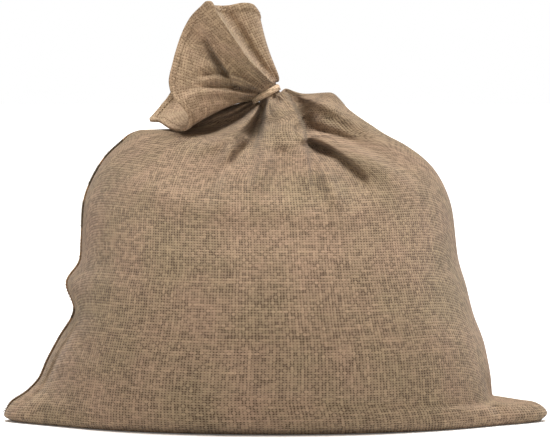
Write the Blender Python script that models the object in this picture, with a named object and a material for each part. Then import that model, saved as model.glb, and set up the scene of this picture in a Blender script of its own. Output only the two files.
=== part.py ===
"""A filled burlap sack with its mouth gathered under a narrow tie, as closed solids in metres, +Z up."""

import math

import bmesh
import bpy
import numpy as np

# Driving dimensions, in metres and degrees.
CLOTH = 0.0024  # thickness of the open ruffle's burlap
NECK_RADIUS = 0.0120  # the gathered cloth under the tie
NECK_CENTRE = (-0.0080, 0.0, 0.3434)
NECK_LEAN = 28.0  # the neck leans this far towards -X
NECK_ROWS = (-0.0055, 0.0, 0.0055)  # neck rings, measured along the neck from its centre
TIE_WIDTH = 0.0068
TIE_THICK = 0.0016
TIE_GAP = 0.0004  # between the tie and the cloth it holds
TIE_EDGE = 0.3  # how far its edges are rounded, as a share of its thickness
TIE_SEGMENTS = 72

# How finely the cloth is laid out.
FRONT_STEP = 2.8125  # degrees between the points of a ring, finer at the front where folds gather
BACK_STEP = 4.0
LEVEL_RUNS = (
    # first row of SECTIONS, last, rings
    (0, 7, 8), (7, 10, 4), (10, 12, 5), (12, 16, 15), (16, 17, 3), (17.25, 19, 3),
)
RUFFLE_ROWS = 7
INNER_ROWS = 7
FUNNEL_START = 0.36  # where the open inside of the ruffle ends, as a share of its length
FUNNEL_TIP = 0.25  # how far its closed end sinks further towards the neck
UNDER_RINGS = (0.35, 0.7)  # rings under the base, as shares of its outline

# The filled body, one row a section from the floor up. left, right, front and back are how far
# the section reaches from the Z axis and z_* its height there. lens is how pointed its ends are.
# ear_left and ear_right are how far the corners of the sack stand out beyond it.
SECTIONS = (
    # name, left, right, front, back, z_left, z_right, z_front, z_back, lens, ear_left, ear_right
    ("foot", 0.240, 0.238, 0.132, 0.132, 0.000, 0.000, 0.000, 0.000, 1.05, 0.037, 0.040),
    ("toe", 0.243, 0.240, 0.142, 0.142, 0.006, 0.008, 0.008, 0.008, 1.04, 0.0415, 0.0445),
    ("ear", 0.242, 0.236, 0.149, 0.150, 0.019, 0.020, 0.022, 0.022, 1.02, 0.034, 0.033),
    ("instep", 0.239, 0.229, 0.151, 0.153, 0.031, 0.0215, 0.036, 0.036, 1.0, 0.020, 0.009),
    ("ankle", 0.236, 0.227, 0.157, 0.158, 0.046, 0.029, 0.050, 0.050, 1.00, 0.009, 0.000),
    ("shin", 0.233, 0.225, 0.162, 0.163, 0.063, 0.046, 0.068, 0.068, 0.98, 0.005, 0.000),
    ("low", 0.226, 0.219, 0.167, 0.168, 0.086, 0.080, 0.092, 0.092, 0.96, 0.000, 0.000),
    ("notch", 0.210, 0.208, 0.170, 0.171, 0.114, 0.112, 0.118, 0.118, 0.93, 0.000, 0.000),
    ("bulge", 0.214, 0.200, 0.168, 0.170, 0.146, 0.143, 0.146, 0.146, 0.93, 0.004, 0.000),
    ("waist", 0.203, 0.191, 0.163, 0.166, 0.172, 0.172, 0.175, 0.175, 0.93, 0.000, 0.000),
    ("upper", 0.200, 0.184, 0.139, 0.148, 0.222, 0.222, 0.222, 0.222, 0.95, 0.000, 0.000),
    ("shoulder", 0.184, 0.164, 0.112, 0.122, 0.266, 0.266, 0.256, 0.260, 1.0, 0.0, 0.0),
    ("brow", 0.163, 0.139, 0.093, 0.098, 0.290, 0.287, 0.275, 0.282, 1.00, 0.000, 0.000),
    ("crest", 0.140, 0.111, 0.076, 0.078, 0.3050, 0.303, 0.290, 0.296, 1.00, 0.000, 0.000),
    ("collar", 0.102, 0.079, 0.060, 0.058, 0.3050, 0.325, 0.303, 0.310, 1.0, 0.0, 0.0),
    ("hollow", 0.060, 0.056, 0.042, 0.040, 0.3260, 0.343, 0.314, 0.325, 1.0, 0.000, 0.000),
    ("gather", 0.031, 0.024, 0.024, 0.024, 0.3360, 0.3455, 0.328, 0.3345, 1.0, 0.0, 0.0),
)
EAR_SPREAD = 19.0  # how wide a corner is, as an azimuth

# Folds are pressed into the cloth from the front or the back.
FRONT = (1, -1.0)  # the axis a fold moves the cloth along, and that axis's sense
BACK = (1, 1.0)
DEEPEST = 0.7  # no valley goes deeper than this share of the way to the middle
TURNED_AWAY = 0.35  # cloth that faces a fold's side by less than this takes less of it
RIDGE_BLUNT = 2.0  # 2 is a round crest or trough, 1 a sharp one
VALLEY_BLUNT = 1.8
RISE_START = 0.35  # the share of its height a fold has where its path starts
RISE_RUN = 0.25  # it grows to the whole by this share of its path
FADE_END = 0.1  # the share it has where its path ends
FADE_RUN = 0.4  # it fades over this last share of its path
PATH_STEPS = 4  # straight steps for each pair of a path
FOLDS_END = 0.25  # folds of the body run out this far above the last row of SECTIONS
FOLDS_START = 0.08  # folds of the ruffle set in over this share of it

# Folds of the filled body. height is how far a ridge stands out, or a valley goes in when it is
# negative, and wide_* its half width where its path starts and ends. A lean above 0 spreads it to
# the left of the way it runs and steepens its right. A path is pairs of X and Z, as seen from the
# front.
BODY_FOLDS = (
    # name, side, height, wide_start, wide_end, lean, path
    ("left_roll", FRONT, 0.016, 0.005, 0.014, 0.4,
     (-0.008, 0.340, -0.019, 0.325, -0.027, 0.317, -0.038, 0.309, -0.052, 0.303, -0.073, 0.297,
      -0.094, 0.295)),
    ("left_tuck", FRONT, 0.010, 0.003, 0.004, 0.0,
     (-0.013, 0.341, -0.027, 0.334, -0.035, 0.331, -0.043, 0.328, -0.054, 0.323)),
    ("left_hollow", FRONT, -0.036, 0.004, 0.012, -0.2,
     (-0.018, 0.338, -0.030, 0.3265, -0.040, 0.319, -0.055, 0.312, -0.073, 0.3075, -0.096, 0.305)),
    ("left_pit", FRONT, -0.044, 0.0045, 0.011, 0.0,
     (-0.010, 0.342, -0.0135, 0.330, -0.016, 0.322, -0.018, 0.315, -0.020, 0.307, -0.024, 0.297,
      -0.029, 0.282)),
    ("centre", FRONT, 0.014, 0.008, 0.022, 0.0,
     (-0.001, 0.342, 0.005, 0.325, 0.007, 0.312, 0.006, 0.298, 0.003, 0.276, -0.001, 0.245)),
    ("edge_pit", FRONT, -0.012, 0.003, 0.004, 0.0,
     (0.012, 0.342, 0.018, 0.3325, 0.0215, 0.3255, 0.025, 0.318)),
    ("rim_strip", FRONT, 0.006, 0.003, 0.003, 0.0,
     (0.031, 0.342, 0.0265, 0.336, 0.024, 0.329, 0.0225, 0.322)),
    ("centre_edge", FRONT, -0.026, 0.006, 0.012, 0.35,
     (0.031, 0.313, 0.034, 0.300, 0.0365, 0.286, 0.038, 0.272, 0.039, 0.256, 0.040, 0.235)),
    ("side_valley", FRONT, -0.032, 0.005, 0.013, 0.3,
     (0.027, 0.341, 0.030, 0.3265, 0.034, 0.318, 0.042, 0.312, 0.054, 0.308, 0.070, 0.303,
      0.090, 0.296, 0.120, 0.283)),
    ("low_ridge", FRONT, 0.014, 0.004, 0.013, 0.4,
     (0.026, 0.3055, 0.036, 0.306, 0.044, 0.305, 0.054, 0.302, 0.070, 0.297, 0.086, 0.2905,
      0.104, 0.281, 0.122, 0.270, 0.146, 0.253)),
    ("low_valley", FRONT, -0.028, 0.004, 0.013, -0.3,
     (0.030, 0.300, 0.040, 0.296, 0.051, 0.291, 0.065, 0.285, 0.076, 0.279, 0.084, 0.270,
      0.090, 0.258, 0.095, 0.240)),
    ("side_ridge", FRONT, 0.008, 0.005, 0.012, 0.0,
     (0.020, 0.344, 0.044, 0.335, 0.060, 0.328, 0.076, 0.320, 0.091, 0.312, 0.112, 0.299,
      0.135, 0.286, 0.160, 0.270)),
    ("hump_step", FRONT, -0.008, 0.003, 0.005, 0.5,
     (0.032, 0.3415, 0.047, 0.338, 0.062, 0.333, 0.078, 0.325, 0.0935, 0.317, 0.117, 0.302)),
    ("right_crease", FRONT, -0.006, 0.003, 0.007, 0.0,
     (0.217, 0.052, 0.222, 0.034, 0.229, 0.019, 0.238, 0.004)),
    ("left_crease", FRONT, -0.007, 0.004, 0.007, 0.0,
     (-0.214, 0.121, -0.206, 0.0995, -0.198, 0.084, -0.182, 0.074)),
    ("back_ridge", BACK, 0.012, 0.006, 0.026, 0.0,
     (-0.005, 0.334, -0.002, 0.318, 0.004, 0.290, 0.006, 0.255, 0.004, 0.205)),
    ("back_pit", BACK, -0.026, 0.005, 0.013, 0.0,
     (0.002, 0.343, 0.016, 0.320, 0.032, 0.294, 0.044, 0.255, 0.050, 0.205)),
    ("back_hip", BACK, 0.010, 0.006, 0.020, 0.0,
     (0.012, 0.343, 0.036, 0.326, 0.060, 0.302, 0.077, 0.268, 0.088, 0.220)),
    ("back_crease", BACK, -0.026, 0.005, 0.013, 0.0,
     (-0.020, 0.324, -0.030, 0.310, -0.042, 0.286, -0.054, 0.248, -0.060, 0.195)),
    ("back_roll", BACK, 0.012, 0.006, 0.020, 0.0,
     (-0.034, 0.320, -0.054, 0.308, -0.078, 0.289, -0.102, 0.257, -0.116, 0.210)),
    ("seam_pit", BACK, -0.018, 0.005, 0.012, 0.0,
     (-0.052, 0.314, -0.070, 0.306, -0.100, 0.292, -0.132, 0.258)),
    ("hip_pit", BACK, -0.014, 0.005, 0.013, 0.0,
     (0.028, 0.343, 0.065, 0.325, 0.097, 0.296, 0.120, 0.256)),
)

# The hem of the ruffle, one row a turn of the neck's azimuth. fan_angle is measured from +X round
# the neck's centre as seen from the front, reach is how far the hem is from that centre and depth
# how far it is towards the back.
HEM = (
    # azimuth, fan_angle, reach, depth
    (0, 96.3, 0.0850, 0.004),
    (12, 101.5, 0.0860, 0.018),
    (26, 108.0, 0.0920, 0.034),
    (42, 120.0, 0.1000, 0.022),
    (58, 127.0, 0.1040, 0.044),
    (74, 138.0, 0.1030, 0.026),
    (90, 146.0, 0.1030, 0.048),
    (106, 157.0, 0.1010, 0.030),
    (122, 166.0, 0.1010, 0.048),
    (138, 177.0, 0.1005, 0.036),
    (150, 184.0, 0.1070, 0.036),
    (158, 190.5, 0.1195, 0.029),
    (164, 193.8, 0.1275, 0.019),
    (171, 195.3, 0.1180, 0.005),
    (179, 199.3, 0.1100, -0.013),
    (186, 203.0, 0.1000, -0.032),
    (191, 203.8, 0.0935, -0.043),
    (196, 201.5, 0.0880, -0.050),
    (201, 195.5, 0.0850, -0.053),
    (207, 188.6, 0.0893, -0.054),
    (213, 182.5, 0.0965, -0.053),
    (220, 177.0, 0.1010, -0.051),
    (230, 171.0, 0.1030, -0.050),
    (240, 164.5, 0.1030, -0.048),
    (252, 156.0, 0.1045, -0.043),
    (265, 147.4, 0.1075, -0.037),
    (277, 140.5, 0.1104, -0.037),
    (289, 134.0, 0.1127, -0.043),
    (300, 128.0, 0.1134, -0.048),
    (309, 124.0, 0.1145, -0.049),
    (316, 121.3, 0.1110, -0.046),
    (321, 121.6, 0.1075, -0.032),
    (326, 119.6, 0.1045, -0.020),
    (334, 113.5, 0.0995, -0.017),
    (344, 106.0, 0.0975, -0.013),
    (353, 99.5, 0.0935, -0.006),
)

DEPTH_SWELL = 0.25  # the ruffle bellies out by this share of its depth, halfway up
# Bends of the ruffle between the neck and the hem, greatest at the share of the way called peak.
BOWS = (
    # name, azimuth, spread, peak, sideways, upward
    ("lobe", 203, 24, 0.55, 0.0, 0.004),
    ("chin", 222, 34, 0.14, -0.003, -0.005),
    ("pleat", 306, 15, 0.40, -0.006, -0.003),
    ("edge", 0, 45, 0.12, 0.005, 0.0),
)

# Folds of the ruffle, as BODY_FOLDS.
RUFFLE_FOLDS = (
    # name, side, height, wide_start, wide_end, lean, path
    ("crease", FRONT, -0.009, 0.003, 0.0015, 0.4,
     (-0.047, 0.355, -0.0515, 0.3625, -0.057, 0.371, -0.063, 0.381, -0.0685, 0.391, -0.075, 0.405)),
    ("crease_lip", FRONT, 0.004, 0.003, 0.009, -0.5,
     (-0.043, 0.358, -0.053, 0.374, -0.059, 0.3845, -0.065, 0.396, -0.073, 0.413)),
    ("branch", FRONT, -0.006, 0.003, 0.004, 0.0,
     (-0.048, 0.363, -0.062, 0.364, -0.0705, 0.363, -0.082, 0.359)),
    ("left_panel", FRONT, 0.005, 0.012, 0.014, 0.0,
     (-0.060, 0.362, -0.074, 0.373, -0.087, 0.3875, -0.094, 0.402)),
    ("upper_lobe", FRONT, 0.007, 0.002, 0.0045, 0.0,
     (-0.014, 0.345, -0.029, 0.355, -0.040, 0.3595, -0.054, 0.361, -0.066, 0.3595, -0.082, 0.353)),
    ("between", FRONT, -0.010, 0.002, 0.004, 0.0,
     (-0.015, 0.344, -0.030, 0.347, -0.041, 0.349, -0.053, 0.351, -0.065, 0.352, -0.080, 0.350)),
    ("lower_lobe", FRONT, 0.009, 0.002, 0.007, 0.5,
     (-0.015, 0.342, -0.031, 0.343, -0.041, 0.3445, -0.053, 0.346, -0.065, 0.347, -0.076, 0.347,
      -0.086, 0.343, -0.100, 0.333)),
    ("pleat_edge", FRONT, 0.007, 0.002, 0.005, 0.7,
     (-0.003, 0.354, -0.014, 0.3655, -0.0215, 0.372, -0.029, 0.380, -0.036, 0.391, -0.040, 0.399,
      -0.0455, 0.4095, -0.053, 0.418, -0.058, 0.426, -0.064, 0.440)),
    ("pleat_hollow", FRONT, -0.006, 0.003, 0.004, 0.0,
     (0.002, 0.355, -0.010, 0.369, -0.017, 0.378, -0.0245, 0.389, -0.031, 0.399, -0.037, 0.4095,
      -0.0445, 0.420, -0.054, 0.437)),
)


def through_rows(keys, rows, at, period=None):
    """Monotone cubic through a table's rows, so nothing swells past the sizes given."""
    keys = np.asarray(keys, float)
    table = np.asarray(rows, float)
    at = np.asarray(at, float)
    if period:
        keys = np.concatenate([keys[-3:] - period, keys, keys[:3] + period])
        table = np.concatenate([table[-3:], table, table[:3]])
        at = at % period
    gap = np.diff(keys)[:, None]
    rise = np.diff(table, axis=0) / gap
    slope = np.zeros_like(table)
    same = rise[:-1] * rise[1:] > 0
    both = np.where(same, rise[:-1] + rise[1:], 1.0)
    slope[1:-1] = np.where(same, 2.0 * rise[:-1] * rise[1:] / both, 0.0)
    slope[0] = rise[0]
    slope[-1] = rise[-1]
    span = np.clip(np.searchsorted(keys, at, side="right") - 1, 0, len(keys) - 2)
    t = ((at - keys[span]) / gap[span, 0])[:, None]
    start, end = table[span], table[span + 1]
    return (
        start * (2 * t**3 - 3 * t**2 + 1)
        + slope[span] * gap[span] * (t**3 - 2 * t**2 + t)
        + end * (3 * t**2 - 2 * t**3)
        + slope[span + 1] * gap[span] * (t**3 - t**2)
    )


def turn_apart(azimuth, middle):
    """The signed turn from middle to each azimuth, from -180 to 180 degrees."""
    return (azimuth - middle + 180.0) % 360.0 - 180.0


def ease(value):
    """A soft step from 0 to 1."""
    value = np.clip(value, 0.0, 1.0)
    return value * value * (3.0 - 2.0 * value)


def neck_axes():
    """The neck's own right, back and up directions."""
    lean = math.radians(NECK_LEAN)
    right = np.array([math.cos(lean), 0.0, math.sin(lean)])
    up = np.array([-math.sin(lean), 0.0, math.cos(lean)])
    return right, np.array([0.0, 1.0, 0.0]), up


def neck_ring(azimuth, along, radius):
    """A true circle round the neck."""
    right, back, up = neck_axes()
    turn = np.radians(azimuth)[:, None]
    centre = np.array(NECK_CENTRE) + along * up
    return centre + radius * (np.cos(turn) * right + np.sin(turn) * back)


def neck_section(along):
    """The neck circle written as a row of SECTIONS, so that the body runs straight into it."""
    right, _, up = neck_axes()
    centre = np.array(NECK_CENTRE) + along * up
    wide, rise = NECK_RADIUS * right[0], NECK_RADIUS * right[2]
    return (
        wide - centre[0], wide + centre[0], NECK_RADIUS, NECK_RADIUS,
        centre[2] - rise, centre[2] + rise, centre[2], centre[2], 1.0, 0.0, 0.0,
    )


def section_rings(azimuth, levels):
    """The smooth body, one ring for each level, counted in rows of SECTIONS."""
    rows = [row[1:] for row in SECTIONS] + [neck_section(along) for along in NECK_ROWS]
    at = through_rows(np.arange(len(rows)), rows, levels)
    left, right, front, back, z_left, z_right, z_front, z_back, lens, *ears = at.T[:, :, None]
    across, deep = np.cos(np.radians(azimuth)), np.sin(np.radians(azimuth))
    x = (right - left) / 2 + (right + left) / 2 * across
    for middle, side, ear in ((180.0, -1.0, ears[0]), (0.0, 1.0, ears[1])):
        x = x + side * ear * np.exp(-((turn_apart(azimuth, middle) / EAR_SPREAD) ** 2))
    y = (back - front) / 2 + (back + front) / 2 * np.sign(deep) * np.abs(deep) ** lens
    middle = (z_front + z_back) / 2
    z = middle + (z_right - z_left) / 2 * across + (z_back - z_front) / 2 * deep
    z = z + ((z_right + z_left) / 2 - middle) * across**2
    return np.stack([x, y, z + 0 * x], axis=-1)


def outward(rings):
    """Unit normals of a stack of closed rings that rises anticlockwise."""
    around = np.roll(rings, -1, axis=1) - np.roll(rings, 1, axis=1)
    normal = np.cross(around, np.gradient(rings, axis=0))
    return normal / np.maximum(np.linalg.norm(normal, axis=-1, keepdims=True), 1e-12)


def fold_share(flat, height, wide_start, wide_end, lean, path):
    """How much of a fold's height each point takes, from how it looks from the fold's side."""
    pairs = np.array(path, float).reshape(-1, 2)
    count = PATH_STEPS * len(pairs)
    line = through_rows(np.arange(len(pairs)), pairs, np.linspace(0, len(pairs) - 1, count))
    nearest = np.full(flat.shape[:2], np.inf)
    place = np.zeros(flat.shape[:2])
    turn = np.zeros(flat.shape[:2])
    for index, (origin, step) in enumerate(zip(line[:-1], np.diff(line, axis=0))):
        away = flat - origin
        part = np.clip(away @ step / (step @ step), 0.0, 1.0)
        away = away - part[..., None] * step
        apart = np.linalg.norm(away, axis=-1)
        side = step[0] * away[..., 1] - step[1] * away[..., 0]
        side = side / (np.linalg.norm(step) * np.maximum(apart, 1e-9))
        closer = apart < nearest
        place = np.where(closer, (index + part) / (count - 1), place)
        turn = np.where(closer, side, turn)
        nearest = np.minimum(nearest, apart)
    wide = wide_start + (wide_end - wide_start) * place
    wide = wide * (1.0 + lean * np.clip(turn, -1.0, 1.0))
    grown = np.clip(place / RISE_RUN + RISE_START, 0, 1)
    faded = np.clip((1.0 - place) / FADE_RUN + FADE_END, 0, 1)
    blunt = RIDGE_BLUNT if height > 0 else VALLEY_BLUNT
    return grown * faded * np.exp(-((nearest / wide) ** blunt))


def pressed(smooth, folds, still):
    """Presses folds into smooth rings. still is how much of them each ring takes, 0 to 1."""
    normal = outward(smooth)
    depth = smooth[..., 1]
    press = np.zeros_like(depth)
    for _, (axis, sense), height, wide_start, wide_end, lean, path in folds:
        flat = smooth[..., [number for number in range(3) if number != axis]]
        share = fold_share(flat, height, wide_start, wide_end, lean, path)
        facing = ease(sense * normal[..., axis] / TURNED_AWAY)
        press += sense * height * share * facing * still[:, None]
    most = DEEPEST * np.maximum(np.abs(depth), 1e-6)
    outwards = press * np.sign(depth) / most
    soft = np.where(outwards < 0, np.tanh(outwards), outwards) * most
    folded = smooth.copy()
    folded[..., 1] += soft * np.sign(depth)
    return folded


def body_rings(azimuth, levels):
    """The filled body from the floor to the top of the neck."""
    still = np.clip((len(SECTIONS) + FOLDS_END - levels) / (1.0 - FOLDS_END), 0.0, 1.0)
    return pressed(section_rings(azimuth, levels), BODY_FOLDS, still)


def hem_ring(azimuth):
    """The hem of the ruffle, a closed line through the rows of HEM."""
    table = np.array(HEM, float)
    angle, reach, depth = through_rows(table[:, 0], table[:, 1:], azimuth, 360.0).T
    turn = np.radians(angle)
    point = np.stack([reach * np.cos(turn), depth, reach * np.sin(turn)], axis=-1)
    return np.array(NECK_CENTRE) + point


def fan_rings(azimuth, shares):
    """The smooth ruffle from the neck (share 0) to the hem (share 1)."""
    start = neck_ring(azimuth, NECK_ROWS[-1], NECK_RADIUS)[None]
    end = hem_ring(azimuth)[None]
    share = np.asarray(shares)[:, None]
    rings = start + (end - start) * share[..., None]
    rings[..., 1] += DEPTH_SWELL * np.sin(np.pi * share) * (end - start)[..., 1]
    for _, middle, spread, peak, sideways, upward in BOWS:
        near = np.exp(-((turn_apart(azimuth, middle) / spread) ** 2))
        bend = near * np.sin(np.pi * share ** (math.log(0.5) / math.log(peak)))
        rings[..., 0] += sideways * bend
        rings[..., 2] += upward * bend
    return rings


def ruffle_rings(azimuth, shares):
    """The open cloth above the tie with its folds."""
    still = np.clip(np.asarray(shares) / FOLDS_START, 0.0, 1.0)
    return pressed(fan_rings(azimuth, shares), RUFFLE_FOLDS, still)


def banded(mesh, first, second):
    """Joins two closed rings of vertices with quads."""
    for index in range(len(first)):
        after = (index + 1) % len(first)
        mesh.faces.new((first[index], first[after], second[after], second[index]))


def capped(mesh, ring, pole, outside_last):
    """Closes a ring of vertices onto one point."""
    tip = mesh.verts.new(pole)
    for index in range(len(ring)):
        edge = (ring[index], ring[(index + 1) % len(ring)])
        mesh.faces.new((*(edge if outside_last else edge[::-1]), tip))


def placed(name, mesh, finish):
    """Puts a finished mesh in the scene as a named object."""
    mesh.normal_update()
    data = bpy.data.meshes.new(name)
    mesh.to_mesh(data)
    mesh.free()
    data.materials.append(finish)
    bpy.context.scene.collection.objects.link(bpy.data.objects.new(name, data))


def material(name, colour, rough):
    """A plain cloth finish."""
    finish = bpy.data.materials.new(name)
    finish.use_nodes = True
    shader = finish.node_tree.nodes["Principled BSDF"]
    shader.inputs["Base Color"].default_value = (*colour, 1.0)
    shader.inputs["Roughness"].default_value = rough
    return finish


def build_sack():
    """Filled body and open ruffle as one piece of cloth."""
    azimuth = np.concatenate([np.arange(0, 180, BACK_STEP), np.arange(180, 360, FRONT_STEP)])
    levels = np.unique(np.concatenate([np.linspace(*run) for run in LEVEL_RUNS]))
    body = body_rings(azimuth, levels)
    ruffle = ruffle_rings(azimuth, np.linspace(0, 1, RUFFLE_ROWS + 1)[1:])
    lining = ruffle_rings(azimuth, np.linspace(FUNNEL_START, 1.0, INNER_ROWS))
    inner = (lining - outward(lining) * CLOTH)[::-1]
    middle = body[0].mean(axis=0)
    under = [middle + (body[0] - middle) * share for share in UNDER_RINGS]
    mesh = bmesh.new()
    rings = [[mesh.verts.new(point) for point in ring] for ring in (*under, *body, *ruffle, *inner)]
    for first, second in zip(rings[:-1], rings[1:]):
        banded(mesh, first, second)
    funnel = inner[-1].mean(axis=0)
    capped(mesh, rings[0], middle, False)
    capped(mesh, rings[-1], funnel + (np.array(NECK_CENTRE) - funnel) * FUNNEL_TIP, True)
    placed("sack", mesh, material("burlap", (0.42, 0.29, 0.18), 0.95))


def build_tie():
    """A flat strip drawn once round the neck."""
    azimuth = np.arange(TIE_SEGMENTS) * 360.0 / TIE_SEGMENTS
    inside = NECK_RADIUS + TIE_GAP
    outside = inside + TIE_THICK
    half = TIE_WIDTH / 2
    edge = TIE_THICK * TIE_EDGE
    profile = (
        (inside, -half + edge), (inside + edge, -half), (outside - edge, -half),
        (outside, -half + edge), (outside, half - edge), (outside - edge, half),
        (inside + edge, half), (inside, half - edge),
    )
    mesh = bmesh.new()
    rings = [
        [mesh.verts.new(point) for point in neck_ring(azimuth, along, radius)]
        for radius, along in profile
    ]
    for first, second in zip(rings, rings[1:] + rings[:1]):
        banded(mesh, first, second)
    placed("tie", mesh, material("tie_cloth", (0.55, 0.44, 0.30), 0.9))


def main():
    for leftover in list(bpy.data.objects):
        bpy.data.objects.remove(leftover)
    build_sack()
    build_tie()


main()
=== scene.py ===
"""A filled burlap sack, its mouth gathered under a narrow tie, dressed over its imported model."""

from __future__ import annotations

import logging
import math
from dataclasses import astuple, dataclass, field
from enum import Enum
from typing import Sequence

import bmesh
import bpy
import numpy as np
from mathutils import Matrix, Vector, noise


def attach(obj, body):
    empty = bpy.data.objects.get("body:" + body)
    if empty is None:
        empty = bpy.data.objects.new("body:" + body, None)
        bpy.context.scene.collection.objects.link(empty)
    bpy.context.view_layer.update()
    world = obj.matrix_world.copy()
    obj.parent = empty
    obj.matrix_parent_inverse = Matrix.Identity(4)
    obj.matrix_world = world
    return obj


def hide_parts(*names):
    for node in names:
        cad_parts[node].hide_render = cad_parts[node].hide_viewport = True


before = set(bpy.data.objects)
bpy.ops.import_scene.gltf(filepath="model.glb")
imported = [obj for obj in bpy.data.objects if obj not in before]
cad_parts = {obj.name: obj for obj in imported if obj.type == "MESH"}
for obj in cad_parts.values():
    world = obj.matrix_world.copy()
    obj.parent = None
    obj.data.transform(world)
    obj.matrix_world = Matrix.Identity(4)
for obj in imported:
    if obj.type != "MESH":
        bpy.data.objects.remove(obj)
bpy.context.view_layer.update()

log = logging.getLogger("sack")

MM = 0.001
ROOT = "root"
WEAVE_UV = "Weave"
# The share of painted backlight in each vertex of the ruffle's cloth.
PAINTED_BACKLIGHT = "Thin"

Rings = np.ndarray
Tree = bpy.types.NodeTree
Piece = bpy.types.Object
Mesh = bmesh.types.BMesh


# ----- The form's sizes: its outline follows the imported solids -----


@dataclass(frozen=True)
class Section:
    """One level of the filled body, as reaches from the Z axis and heights, in mm.

    The lens is the power that flattens its front and back, and the ears stand out from its sides.
    """

    name: str
    left: float
    right: float
    front: float
    back: float
    z_left: float
    z_right: float
    z_front: float
    z_back: float
    lens: float
    ear_left: float
    ear_right: float


class Side(Enum):
    """Where a fold is pressed in from, as the sense of Y that points out there."""

    FRONT = -1.0
    BACK = 1.0


@dataclass(frozen=True)
class Fold:
    """A ridge or valley along a path of X and Z pairs, in mm, as it looks from one side.

    A lean above 0 spreads it to the left of the way it runs and steepens its right.
    """

    name: str
    height: float
    wide_start: float
    wide_end: float
    path: tuple[float, ...]
    lean: float = 0.0
    side: Side = Side.FRONT

    def pairs(self) -> np.ndarray:
        """The path's points, in metres."""
        return np.array(self.path, float).reshape(-1, 2) * MM


@dataclass(frozen=True)
class Bow:
    """A bend of the ruffle's cloth, in mm, most at the share of its height called peak."""

    name: str
    azimuth: float
    spread: float
    peak: float
    sideways: float
    upward: float


@dataclass(frozen=True)
class HemPoint:
    """One turn of the hem: azimuth at the neck, angle in the fan, reach and depth in mm."""

    azimuth: float
    fan_angle: float
    reach: float
    depth: float


SECTIONS = (
    Section("foot", 240, 238, 132, 132, 0, 0, 0, 0, 1.05, 37, 40),
    Section("toe", 243, 240, 142, 142, 6, 8, 8, 8, 1.04, 41.5, 44.5),
    Section("ear", 242, 236, 149, 150, 19, 20, 22, 22, 1.02, 34, 33),
    Section("instep", 239, 229, 151, 153, 31, 21.5, 36, 36, 1, 20, 9),
    Section("ankle", 236, 227, 157, 158, 46, 29, 50, 50, 1, 9, 0),
    Section("shin", 233, 225, 162, 163, 63, 46, 68, 68, 0.98, 5, 0),
    Section("low", 226, 219, 167, 168, 86, 80, 92, 92, 0.96, 0, 0),
    Section("notch", 217, 208, 170, 171, 114, 112, 118, 118, 0.93, -7, 0),
    Section("bulge", 211, 200, 168, 170, 146, 143, 146, 146, 0.93, 7, 0),
    Section("waist", 203, 191, 163, 166, 172, 172, 175, 175, 0.93, 0, 0),
    Section("upper", 200, 184, 139, 148, 222, 222, 222, 222, 0.95, 0, 0),
    Section("shoulder", 184, 164, 112, 122, 266, 266, 256, 260, 1, 0, 0),
    Section("brow", 163, 139, 93, 98, 290, 287, 275, 282, 1, 0, 0),
    Section("crest", 140, 111, 76, 78, 305, 303, 290, 296, 1, 0, 0),
    Section("collar", 102, 79, 60, 58, 305, 325, 303, 310, 1, 0, 0),
    Section("hollow", 60, 57, 42, 40, 325, 343.8, 314, 325, 1, 0, 0),
    Section("dip", 43, 30, 33, 31, 330, 342, 321.5, 328.5, 1, 0, 0),
    Section("gather", 26, 10.5, 21, 21, 334, 347, 329.5, 332.5, 1, 0, 0),
)
LAST_SECTION = len(SECTIONS)

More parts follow.
